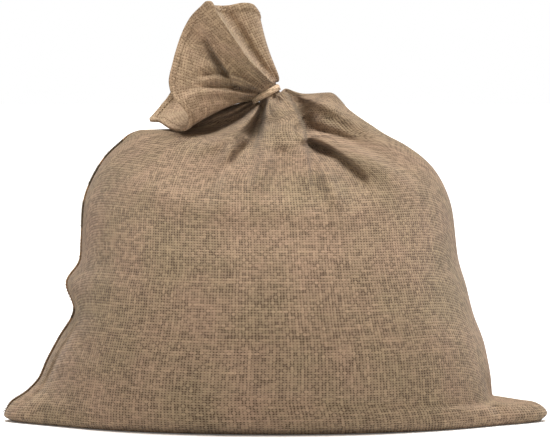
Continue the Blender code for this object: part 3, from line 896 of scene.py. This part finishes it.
@dataclass
class SackCloth:
    """The filled body and the open ruffle, one piece of burlap."""

    finish: Burlap = field(default_factory=Burlap)
    front_step: float = 0.9
    back_step: float = 1.5
    body_rows: int = 170
    ruffle_rows: int = 48
    funnel_start: float = 0.30
    thickness: float = 2.0 * MM
    belly_level: float = 9.0
    undulation: float = 1.6 * MM
    # Dents to a metre, the broad ones and the fine ones, and the body levels where they fade.
    broad_dents: float = 11.0
    fine_dents: float = 31.0
    dented_levels: tuple[float, float, float] = (1.5, 14.0, 17.0)
    # Two sets of pleats, which start a way off the tie and fade out beyond it.
    pleat_depth: float = 1.1 * MM
    pleat_counts: tuple[int, int] = (19, 31)
    pleat_start: float = 13.5 * MM
    pleat_rise: float = 8.0 * MM
    pleat_fade: float = 36.0 * MM
    hem_width: float = 8.5 * MM
    hem_step: float = 0.8 * MM
    hem_slope: float = 1.2 * MM
    hem_round: float = 1.5 * MM
    hem_share: float = 0.89
    hem_rows: int = 14
    gathered_levels: tuple[float, float] = (10.0, 13.5)
    parting_reach: float = 8.0 * MM
    # Rows of the ruffle, from the tie, over which its painted backlight rises to full.
    backlight_rows: int = 12
    neck_dip: float = 0.25
    body: Rings = field(default_factory=lambda: np.zeros((0, 0, 3)))
    ruffle: Rings = field(default_factory=lambda: np.zeros((0, 0, 3)))
    inner: Rings = field(default_factory=lambda: np.zeros((0, 0, 3)))
    creases: tuple[int, ...] = (110, 138, 165, 188, 224, 262, 321, 360, 402, 434, 470)
    partings: tuple[str, ...] = (
        "left_hollow", "left_pit", "centre_edge", "low_valley", "back_pit", "back_crease",
        "seam_pit", "hip_pit",
    )

    def columns(self) -> np.ndarray:
        """Azimuths of the columns, from the crease at the back, closer at the front.

        Returns:
            Degrees, rising through one whole turn.
        """
        front = np.arange(180.0, 360.0, self.front_step)
        back = np.arange(0.0, 180.0, self.back_step)
        crease = 110.0
        return np.concatenate([back[back >= crease], front, back[back < crease] + 360.0])

    def levels(self) -> np.ndarray:
        """Levels of the body's rings, closer where the cloth gathers.

        Returns:
            Levels, rising from the floor to the neck's top.
        """
        top = LAST_SECTION + len(FORM.neck_rows) - 1
        low = np.linspace(0, 10, self.body_rows // 3, endpoint=False)
        high = np.linspace(10, top, self.body_rows - len(low))
        return np.concatenate([low, high])

    def undulate(self, rings: Rings, smooth: Rings, fade: np.ndarray) -> Rings:
        """Adds the shallow dents of loose contents behind cloth.

        Args:
            rings: Points to move.
            smooth: The same points before they were folded, which give the way to move.
            fade: How much of the movement each ring takes.

        Returns:
            The moved points.
        """
        flat = rings.reshape(-1, 3)
        broad = [noise.noise(Vector(point * self.broad_dents)) for point in flat]
        fine = [noise.noise(Vector(point * self.fine_dents + 7.0)) for point in flat]
        heights = (np.array(broad) + 0.35 * np.array(fine)).reshape(rings.shape[:2])
        return rings + outward(smooth) * (heights * self.undulation * fade[:, None])[..., None]

    def pleated(self, azimuth: np.ndarray, rings: Rings, smooth: Rings) -> Rings:
        """Draws fine uneven pleats into the cloth just below and above the tie.

        Args:
            azimuth: The columns, in degrees.
            rings: Points to move.
            smooth: The same points before they were folded, which give the way to move.

        Returns:
            The moved points.
        """
        turn = np.radians(azimuth)
        first, second = self.pleat_counts
        wave = np.sin(first * turn + 2.1 * np.sin(3 * turn)) + 0.6 * np.sin(second * turn + 1.3)
        away = np.linalg.norm(rings - np.array(FORM.neck_centre), axis=-1)
        reach = ease((away - self.pleat_start) / self.pleat_rise)
        reach = reach * np.exp(-((away / self.pleat_fade) ** 2))
        return rings + outward(smooth) * (self.pleat_depth * wave * reach)[..., None]

    def shares(self) -> np.ndarray:
        """Shares of the ruffle's rings, closer at the hem.

        Returns:
            Shares, rising from 0 to 1.
        """
        return np.concatenate([
            np.linspace(0, self.hem_share, self.ruffle_rows, endpoint=False),
            np.linspace(self.hem_share, 1.0, self.hem_rows)])

    def hemmed(self, rings: Rings, shares: np.ndarray) -> np.ndarray:
        """How far the turned hem stands out from the cloth, for each point.

        Args:
            rings: The ruffle's points.
            shares: Shares of the way from the neck (0) to the hem (1).

        Returns:
            A distance for each point, in metres.
        """
        length = np.linalg.norm(np.diff(rings, axis=0), axis=2).sum(axis=0)
        from_edge = (1.0 - shares)[:, None] * length
        band = ease((self.hem_width - from_edge) / self.hem_slope)
        return self.hem_step * band * (0.35 + 0.65 * ease(from_edge / self.hem_round))

    def sector_edges(self, azimuth: np.ndarray, levels: np.ndarray) -> np.ndarray:
        """Azimuths of the valleys that part the cloth into panels, for each level.

        Args:
            azimuth: The columns, in degrees.
            levels: The levels, where 0 is the floor.

        Returns:
            Rising azimuths for each level.
        """
        smooth = FORM.section_rings(azimuth, levels)
        normal = outward(smooth)
        edges = [np.full(len(levels), azimuth[0])]
        for fold in BODY_FOLDS:
            if fold.name not in self.partings:
                continue
            near = np.linalg.norm(smooth[..., None, [0, 2]] - fold.pairs(), axis=-1).min(axis=-1)
            near = near + np.where(fold.side.value * normal[..., 1] > 0, 0.0, 1.0)
            found = np.argmin(near, axis=1)
            close = near[np.arange(len(levels)), found] < self.parting_reach
            turns = np.interp(levels, levels[close], azimuth[found][close])
            edges.append(np.convolve(np.pad(turns, 4, mode="edge"), np.full(9, 1 / 9), "valid"))
        edges.append(np.full(len(levels), azimuth[0] + 360.0))
        return np.sort(np.stack(edges, axis=1), axis=1)

    def panel_edges(self, shares: np.ndarray) -> np.ndarray:
        """Azimuths of the creases that part the ruffle into panels, for each ring."""
        return np.repeat(np.array([self.creases], float), len(shares), axis=0)

    def build(self) -> Piece:
        """Builds the mesh, inside and outside, with its weave UVs.

        Returns:
            The piece.
        """
        azimuth = self.columns()
        levels = self.levels()
        body = FORM.body_rings(azimuth, levels)
        low, high, top = self.dented_levels
        calm = ease(levels / low) * ease((top - levels) / (top - high))
        plump = FORM.section_rings(azimuth, levels)
        body = self.pleated(azimuth, self.undulate(body, plump, calm), plump)
        shares = self.shares()
        ruffle = FORM.ruffle_rings(azimuth, shares)
        fan = FORM.fan_rings(azimuth, shares)
        calm = 0.6 * ease(shares / 0.5)
        ruffle = self.pleated(azimuth, self.undulate(ruffle, fan, calm), fan)
        normal = outward(ruffle)
        hem = self.hemmed(ruffle, shares)[..., None]
        depth = shares[shares >= self.funnel_start]
        inner = (ruffle - normal * (self.thickness + hem))[shares >= self.funnel_start]
        ruffle = ruffle + normal * hem
        self.body, self.ruffle, self.inner = body, ruffle, inner
        start, end = self.gathered_levels
        gathered = ease((levels - start) / (end - start))
        pieces = [
            (body, self.weave(azimuth, body, plump, self.sector_edges(azimuth, levels), gathered)),
            (ruffle, self.weave(azimuth, ruffle, fan, self.panel_edges(shares),
                                np.ones(len(shares)))),
            (inner[::-1], self.weave(azimuth, inner, fan[-len(depth):], self.panel_edges(depth),
                                     np.ones(len(depth)))),
        ]
        return self.join(azimuth, pieces)

    def belly_line(self, azimuth: np.ndarray) -> np.ndarray:
        """Metres of cloth round the belly up to each azimuth, one more than there are.

        Args:
            azimuth: The columns, in degrees.

        Returns:
            A rising length for each column, and the whole length.
        """
        ring = FORM.body_rings(azimuth, np.array([self.belly_level, self.belly_level + 0.1]))[0]
        steps = np.linalg.norm(np.roll(ring, -1, axis=0) - ring, axis=1)
        return np.concatenate([[0.0], np.cumsum(steps)])

    def weave(
        self, azimuth: np.ndarray, rings: Rings, smooth: Rings, edges: np.ndarray, gathered: np.ndarray
    ) -> tuple[np.ndarray, np.ndarray, np.ndarray]:
        """Metres of cloth across and along, which keep the yarns' spacing where it gathers.

        Args:
            azimuth: The columns.
            rings: The cloth's points.
            smooth: The same points before they were folded, which keep the wefts level.
            edges: Azimuths that part the panels, for each ring.
            gathered: How far each ring's yarns hide in the valleys, 0 to 1.

        Returns:
            Across, for each panel, ring and column; along, for each ring and column; and the
            panel of each face, for each ring and column.
        """
        closed = np.concatenate([azimuth, [azimuth[0] + 360.0]])
        line = self.belly_line(azimuth)
        steps = np.linalg.norm(np.roll(rings, -1, axis=1) - rings, axis=2)
        around = np.concatenate([np.zeros((len(rings), 1)), np.cumsum(steps, axis=1)], axis=1)
        middles = (edges[:, :-1] + edges[:, 1:]) / 2
        across = np.empty((middles.shape[1], len(rings), len(closed)))
        for panel in range(middles.shape[1]):
            home = np.interp(middles[0, panel], closed, line)
            for row in range(len(rings)):
                own = np.interp(middles[row, panel], closed, around[row])
                local = home + around[row] - own
                across[panel, row] = line + (local - line) * gathered[row]
        rise = np.linalg.norm(np.diff(smooth, axis=0), axis=2)
        along = np.concatenate([np.zeros((1, rings.shape[1])), np.cumsum(rise, axis=0)])
        along = np.concatenate([along, along[:, :1]], axis=1)
        centre = (closed[:-1] + closed[1:]) / 2
        panels = (centre[None, :, None] > edges[:, None, 1:-1]).sum(axis=2)
        return across, along, panels

    def join(self, azimuth: np.ndarray, pieces: list) -> Piece:
        """Joins the stacks of rings, outside then inside, into one closed mesh with UVs.

        Args:
            azimuth: The columns, in degrees.
            pieces: The body, the ruffle's outside and its inside, each with its weave.

        Returns:
            The piece.
        """
        count = len(azimuth)
        made = bmesh.new()
        layer = made.loops.layers.uv.new(WEAVE_UV)
        backlit_share = made.verts.layers.float.new(PAINTED_BACKLIGHT)
        last: list[bmesh.types.BMVert] = []
        for number, (rings, (across, along, panels)) in enumerate(pieces):
            flip = number == 2
            for row, ring in enumerate(rings):
                source = len(rings) - 1 - row if flip else row
                if number == 1 and row == 0:
                    continue
                verts = [made.verts.new(point) for point in ring]
                for vert in verts:
                    # The ruffle's vertices carry the painted backlight; the body's carry none.
                    vert[backlit_share] = min(number, 1) * min(source / self.backlight_rows, 1.0)
                if last:
                    # The inside starts at the hem, on the same row of cloth as the outside ends.
                    before = source if (flip and row == 0) else source + (1 if flip else -1)
                    for at in range(count):
                        after = (at + 1) % count
                        face = made.faces.new((last[at], last[after], verts[after], verts[at]))
                        face.smooth = True
                        panel = panels[source, at]
                        spots = ((before, at), (before, at + 1), (source, at + 1), (source, at))
                        for loop, (r, c) in zip(face.loops, spots):
                            loop[layer].uv = (across[panel, r, c], along[r, c])
                else:
                    floor = verts
                last = verts
        self.cap(made, layer, floor, down=True)
        self.cap(made, layer, last, down=False)
        piece = new_piece("sack_cloth", made, self.finish.make())
        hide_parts("sack")
        return piece

    def cap(self, made: Mesh, layer: object, ring: list, down: bool) -> None:
        """Closes a ring onto its middle with flat UVs.

        Args:
            made: The mesh to add to.
            layer: Its UV layer.
            ring: The vertices to close.
            down: Whether it faces the floor.
        """
        middle = Vector(np.mean([vert.co[:] for vert in ring], axis=0))
        if not down:
            middle = middle.lerp(Vector(FORM.neck_centre), self.neck_dip)
        pole = made.verts.new(middle)
        for at, vert in enumerate(ring):
            after = ring[(at + 1) % len(ring)]
            face = made.faces.new((after, vert, pole) if down else (vert, after, pole))
            face.smooth = not down
            for loop in face.loops:
                loop[layer].uv = (loop.vert.co.x, loop.vert.co.y)


@dataclass(frozen=True)
class SeamRun:
    """A stretch of the side seam: body levels, spacing of its stitches and its thread."""

    name: str
    start: float
    end: float
    pitch: float
    colour: str


SEAM_RUNS = (
    # The ear run's thread is darker partly as its own colour and partly as painted shade along the seam
    # by the ear.
    SeamRun("ear", 1.2, 6.7, 2.0 * MM, "#4A3826"),
    SeamRun("knot", 6.7, 7.3, 1.2 * MM, "#2E261B"),
    SeamRun("belly", 7.3, 9.6, 3.4 * MM, "#85715A"),
    SeamRun("flank_low", 9.6, 10.25, 1.3 * MM, "#33301F"),
    SeamRun("flank_mid", 10.45, 11.1, 1.3 * MM, "#33301F"),
    SeamRun("flank_high", 11.3, 12.3, 1.4 * MM, "#3B3525"),
)


@dataclass
class SideSeam:
    """The overlocked welt that closes the sack's left side, bound with dull thread."""

    azimuth: float = 181.0
    proud: float = 0.3 * MM
    half_wide: float = 1.9 * MM
    half_thick: float = 1.3 * MM
    step: float = 1.5 * MM
    sides: int = 12
    side_width: float = 0.9 * MM
    # How far the welt runs past its thread, in levels, and how quickly its ends taper.
    overrun: float = 0.6
    taper: float = 12.0
    thread_radius: float = 0.35 * MM
    slack: float = 0.12
    turn_steps: int = 10
    finish: Burlap = field(
        default_factory=lambda: Burlap(
            name="seam_burlap", ruddy="#8F7055", straw="#7F6B50", warp_pitch=2.4 * MM, fill=0.6)
    )

    def line(self, cloth: SackCloth, start: float, end: float) -> tuple[np.ndarray, np.ndarray]:
        """The seam's middle line on the cloth and the way out from the sack along it.

        Args:
            cloth: The cloth that carries it, already built.
            start: The level where it starts.
            end: The level where it ends.

        Returns:
            A point and a unit vector for each of the levels between.
        """
        levels = cloth.levels()
        column = int(np.argmin(np.abs(cloth.columns() - self.azimuth)))
        rows = (levels >= start) & (levels <= end)
        outside = outward(cloth.body)[rows, column]
        return cloth.body[rows, column] + outside * self.proud, outside

    def axes(
        self, spine: np.ndarray, outside: np.ndarray, at: np.ndarray
    ) -> tuple[np.ndarray, np.ndarray, np.ndarray]:
        """Points at distances along the seam, with the ways out from the cloth and across it.

        Args:
            spine: The seam's middle line.
            outside: The way out for each of its points.
            at: Distances along it, in metres.

        Returns:
            The points, the ways out and the ways across.
        """
        middle = along_line(spine, at)
        out = along_line(outside + spine, at) - middle
        ahead = np.gradient(middle, axis=0)
        ahead /= np.linalg.norm(ahead, axis=1, keepdims=True)
        return middle, out, np.cross(ahead, out)

    def build(self, cloth: SackCloth) -> list[Piece]:
        """Builds the welt and one piece of thread for each run.

        Args:
            cloth: The cloth that carries it, already built.

        Returns:
            The pieces.
        """
        spine, outside = self.line(cloth, SEAM_RUNS[0].start, SEAM_RUNS[-1].end + self.overrun)
        made = bmesh.new()
        layer = made.loops.layers.uv.new(WEAVE_UV)
        count = int(line_length(spine) / self.step)
        middle, out, side = self.axes(spine, outside, np.linspace(0, line_length(spine), count))
        taper = ease((1 - np.abs(np.linspace(-1, 1, count))) * self.taper)[:, None]
        rings = []
        for turn in np.arange(self.sides) * 2 * math.pi / self.sides:
            wide = out * self.half_wide * math.cos(turn) + side * self.half_thick * math.sin(turn)
            rings.append(middle + wide * taper)
        skin(made, np.stack(rings, axis=1), layer, (self.side_width, self.step))
        bmesh.ops.holes_fill(made, edges=made.edges[:])
        pieces = [new_piece("side_seam", made, self.finish.make())]
        for run in SEAM_RUNS:
            pieces.append(self.bind(cloth, run))
        return pieces

    def bind(self, cloth: SackCloth, run: SeamRun) -> Piece:
        """Winds a run's thread round the welt, with a little unevenness.

        Args:
            cloth: The cloth that carries it, already built.
            run: The stretch to bind.

        Returns:
            The piece.
        """
        spine, outside = self.line(cloth, run.start, run.end)
        length = line_length(spine)
        turns = np.arange(0, length / run.pitch, 1 / self.turn_steps)
        middle, out, side = self.axes(spine, outside, turns * run.pitch)
        loose = 1.0 + self.slack * np.sin(turns * 1.7) * np.sin(turns * 0.43)
        wide = (self.half_wide + self.thread_radius) * loose * np.cos(2 * math.pi * turns)
        thick = (self.half_thick + self.thread_radius) * np.sin(2 * math.pi * turns)
        wound = middle + out * wide[:, None] + side * thick[:, None]
        name = f"seam_thread_{run.name}"
        return stitched(name, [wound], self.thread_radius, Thread(name, run.colour), 5)


@dataclass
class HemStitches:
    """Running stitches that hold the turned hem, on its outside and its inside."""

    stitch: float = 3.0 * MM
    pitch: float = 4.2 * MM
    from_edge: float = 7.2 * MM
    radius: float = 0.40 * MM
    # How high each stitch stands along its length, in its own radii: both ends dip in.
    lifts: tuple[float, ...] = (-1.2, 0.7, 1.0, 0.7, -1.2)
    finish: Thread = Thread("hem_thread", "#7F6A52")

    def build(self, cloth: SackCloth) -> list[Piece]:
        """Builds both rows of stitches as one piece.

        Args:
            cloth: The cloth that carries it, already built.

        Returns:
            The one piece, in a list.
        """
        lines = []
        shares = cloth.shares()
        for rings, sense, shift in (
            (cloth.ruffle, 1.0, 0.0), (cloth.inner, -1.0, 0.5 * self.pitch)
        ):
            own = shares[len(shares) - len(rings):]
            length = np.linalg.norm(np.diff(cloth.ruffle, axis=0), axis=2).sum(axis=0).mean()
            row = int(np.argmin(np.abs(own - (1 - self.from_edge / length))))
            ring = np.concatenate([rings[row], rings[row][:1]])
            out = sense * outward(rings)[row]
            out = np.concatenate([out, out[:1]])
            total = line_length(ring)
            for start in np.arange(shift, total - self.pitch, self.pitch):
                at = start + np.linspace(0, self.stitch, len(self.lifts))
                lift = self.radius * np.array(self.lifts)[:, None]
                base = along_line(ring, at)
                away = along_line(ring + out * 0.01, at) - base
                away /= np.linalg.norm(away, axis=1, keepdims=True)
                lines.append(base + away * lift)
        return [stitched("hem_stitches", lines, self.radius, self.finish)]


@dataclass
class LooseFibres:
    """Stray jute hairs that stand off the cloth."""

    count: int = 700
    shortest: float = 2.0 * MM
    longest: float = 5.0 * MM
    radius: float = 0.06 * MM
    lowest: float = 0.5 * MM
    body_share: float = 0.75
    lean: float = 0.8
    bend: float = 0.5
    seed: int = 11
    finish: Thread = Thread("loose_fibre", "#B59A7C")

    def build(self, cloth: SackCloth) -> list[Piece]:
        """Builds all the hairs as one piece.

        Args:
            cloth: The cloth that carries it, already built.

        Returns:
            The one piece, in a list.
        """
        dice = np.random.default_rng(self.seed)
        spots, ways = [], []
        for rings, share in (
            (cloth.body[12:], self.body_share), (cloth.ruffle[4:], 1.0 - self.body_share)
        ):
            area = np.linalg.norm(np.roll(rings, -1, axis=1) - rings, axis=2)
            area = area * np.linalg.norm(np.gradient(rings, axis=0), axis=2)
            odds = (area / area.sum()).ravel()
            picked = dice.choice(area.size, int(self.count * share), p=odds)
            spots.append(rings.reshape(-1, 3)[picked])
            ways.append(outward(rings).reshape(-1, 3)[picked])
        lines = []
        for spot, way in zip(np.concatenate(spots), np.concatenate(ways)):
            lean = dice.normal(0, self.lean, 3)
            bend = dice.normal(0, self.bend, 3)
            length = dice.uniform(self.shortest, self.longest)
            heading = way * 0.6 + lean - way * (lean @ way)
            heading /= np.linalg.norm(heading)
            part = np.linspace(0, 1, 5)[:, None]
            hair = spot + (heading * part + bend * part**2 * 0.5) * length
            if (hair[:, 2] >= self.lowest).all():
                lines.append(hair)
        return [stitched("loose_fibres", lines, self.radius, self.finish, 3)]


@dataclass
class TieBand:
    """A narrow strip of pale cloth drawn once round the neck."""

    width: float = 6.8 * MM
    cut_width: float = 10.0 * MM
    thick: float = 1.6 * MM
    gap: float = 0.4 * MM
    waviness: float = 0.25 * MM
    face_steps: int = 9
    turns: int = 180
    tuck_azimuth: float = 190.0
    tuck_spread: float = 17.0
    tuck_reach: float = 5.2 * MM
    tuck_pinch: float = 0.15
    tuck_drop: float = 1.4 * MM
    finish: Burlap = field(
        default_factory=lambda: Burlap(
            name="jute_tape", ruddy="#C0A68C", straw="#BAA688", pore_shade="#85725C",
            warp_pitch=1.5 * MM, weft_pitch=1.3 * MM, fill=0.62, wander=0.3 * MM,
            relief=0.4 * MM,
        )
    )

    def build(self) -> Piece:
        """Builds the strip with rounded edges and a slightly domed face.

        Returns:
            The piece.
        """
        azimuth = np.arange(self.turns) * 360.0 / self.turns
        inside = FORM.neck_radius + self.gap
        half = self.width / 2
        profile = [(inside, -half), (inside, half)]
        for step in np.linspace(1, -1, self.face_steps):
            bow = 0.5 * self.thick * (1 - abs(step) ** 3)
            profile.append((inside + self.thick * 0.5 + bow, half * step))
        # The strip's end is tucked under itself: a narrow bump at the low side of the neck.
        tuck = np.exp(-(((azimuth - self.tuck_azimuth) / self.tuck_spread) ** 2))
        up = FORM.neck_axes()[2]
        made = bmesh.new()
        layer = made.loops.layers.uv.new(WEAVE_UV)
        rings = []
        for radius, along in profile:
            wave = self.waviness * np.sin(np.radians(azimuth * 7 + along * 9e4))
            ring = FORM.neck_ring(azimuth, along, radius)
            out = (ring - ring.mean(axis=0)) / radius
            lift = wave + self.tuck_reach * tuck if radius > inside else 0 * wave
            shift = self.tuck_pinch * along + (self.tuck_drop if radius > inside else 0.0)
            ring = ring + out * lift[:, None] - up * (shift * tuck)[:, None]
            rings.append([made.verts.new(point) for point in ring])
        around = 2 * math.pi * inside / self.turns
        for index, ring in enumerate(rings):
            following = rings[(index + 1) % len(rings)]
            for at in range(self.turns):
                after = (at + 1) % self.turns
                face = made.faces.new((following[at], following[after], ring[after], ring[at]))
                face.smooth = True
                spots = ((at, index + 1), (at + 1, index + 1), (at + 1, index), (at, index))
                for loop, (u, v) in zip(face.loops, spots):
                    loop[layer].uv = (v * self.width / self.face_steps, u * around)
        piece = new_piece("tie_band", made, self.finish.make())
        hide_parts("tie")
        return piece


# ----- Stage -----


class Lamp(Enum):
    """Broad soft lamps: the way their light travels, their spread in degrees and strength."""

    KEY = ((0.05, 0.34, -1.0), 25.0, 1.0)
    TOP = ((-0.10, 0.12, -1.0), 36.0, 3.8)
    FILL = ((0.0, 1.0, 0.05), 40.0, 0.45)
    RIM = ((-1.0, -0.75, -0.4), 20.0, 0.6)


@dataclass
class Studio:
    """A pale floor, soft lamps and a long lens at the height of the sack's belly."""

    distance: float = 4.0
    elevation: float = 3.3
    view_width: float = 0.57475
    aim_x: float = -0.0005
    aim_z: float = 0.2104
    ambient: float = 0.30
    room: str = "#FFE0C0"
    floor: StudioFloor = field(default_factory=StudioFloor)

    def build(self) -> None:
        """Adds the floor, the lamps, the world and the camera."""
        made = bmesh.new()
        bmesh.ops.create_grid(made, x_segments=1, y_segments=1, size=12.0)
        ground = new_object("floor", made, self.floor.make())
        ground.location.z = -0.6 * MM
        for lamp in Lamp:
            travel, spread, strength = lamp.value
            light = bpy.data.lights.new(lamp.name.lower(), "SUN")
            light.angle = math.radians(spread)
            light.energy = strength
            stand = bpy.data.objects.new(lamp.name.lower(), light)
            stand.rotation_euler = Vector(travel).to_track_quat("-Z", "Y").to_euler()
            bpy.context.scene.collection.objects.link(stand)
        world = bpy.data.worlds.new("studio")
        bpy.context.scene.world = world
        world.use_nodes = True
        tree = world.node_tree
        tree.nodes.clear()
        paper = add_node(tree, "Background", {"Color": linear("#FFFFFF")})
        # The room's own dim light is warm, so the deep folds turn brown, not grey.
        room = add_node(tree, "Background", {"Color": linear(self.room), "Strength": self.ambient})
        seen = add_node(tree, "LightPath").outputs["Is Camera Ray"]
        both = add_node(tree, "MixShader", (seen, room, paper))
        add_node(tree, "OutputWorld", (both,))
        bpy.context.scene.view_settings.view_transform = "Standard"
        self.camera()

    def camera(self) -> None:
        """Sets a long lens that frames the sack from the front."""
        lens = bpy.data.cameras.new("camera")
        lens.sensor_width = 36.0
        lens.lens = lens.sensor_width * self.distance / self.view_width
        lens.clip_end = 60.0
        rig = bpy.data.objects.new("camera", lens)
        rise = math.radians(self.elevation)
        aim = Vector((self.aim_x, 0.0, self.aim_z))
        away = Vector((0.0, -math.cos(rise), math.sin(rise)))
        rig.location = aim + away * self.distance
        rig.rotation_euler = (-away).to_track_quat("-Z", "Y").to_euler()
        bpy.context.scene.collection.objects.link(rig)
        bpy.context.scene.camera = rig


def main() -> None:
    """Builds the stage and each sub-assembly in order, and reports each piece."""
    logging.basicConfig(level=logging.INFO, format="%(name)s: %(message)s")
    Studio().build()
    cloth = SackCloth()
    pieces = [cloth.build(), TieBand().build()]
    for trim in (SideSeam(), HemStitches(), LooseFibres()):
        pieces += trim.build(cloth)
    for piece in pieces:
        log.info("%s: %d faces", piece.name, len(piece.data.polygons))


if __name__ == "__main__":
    main()
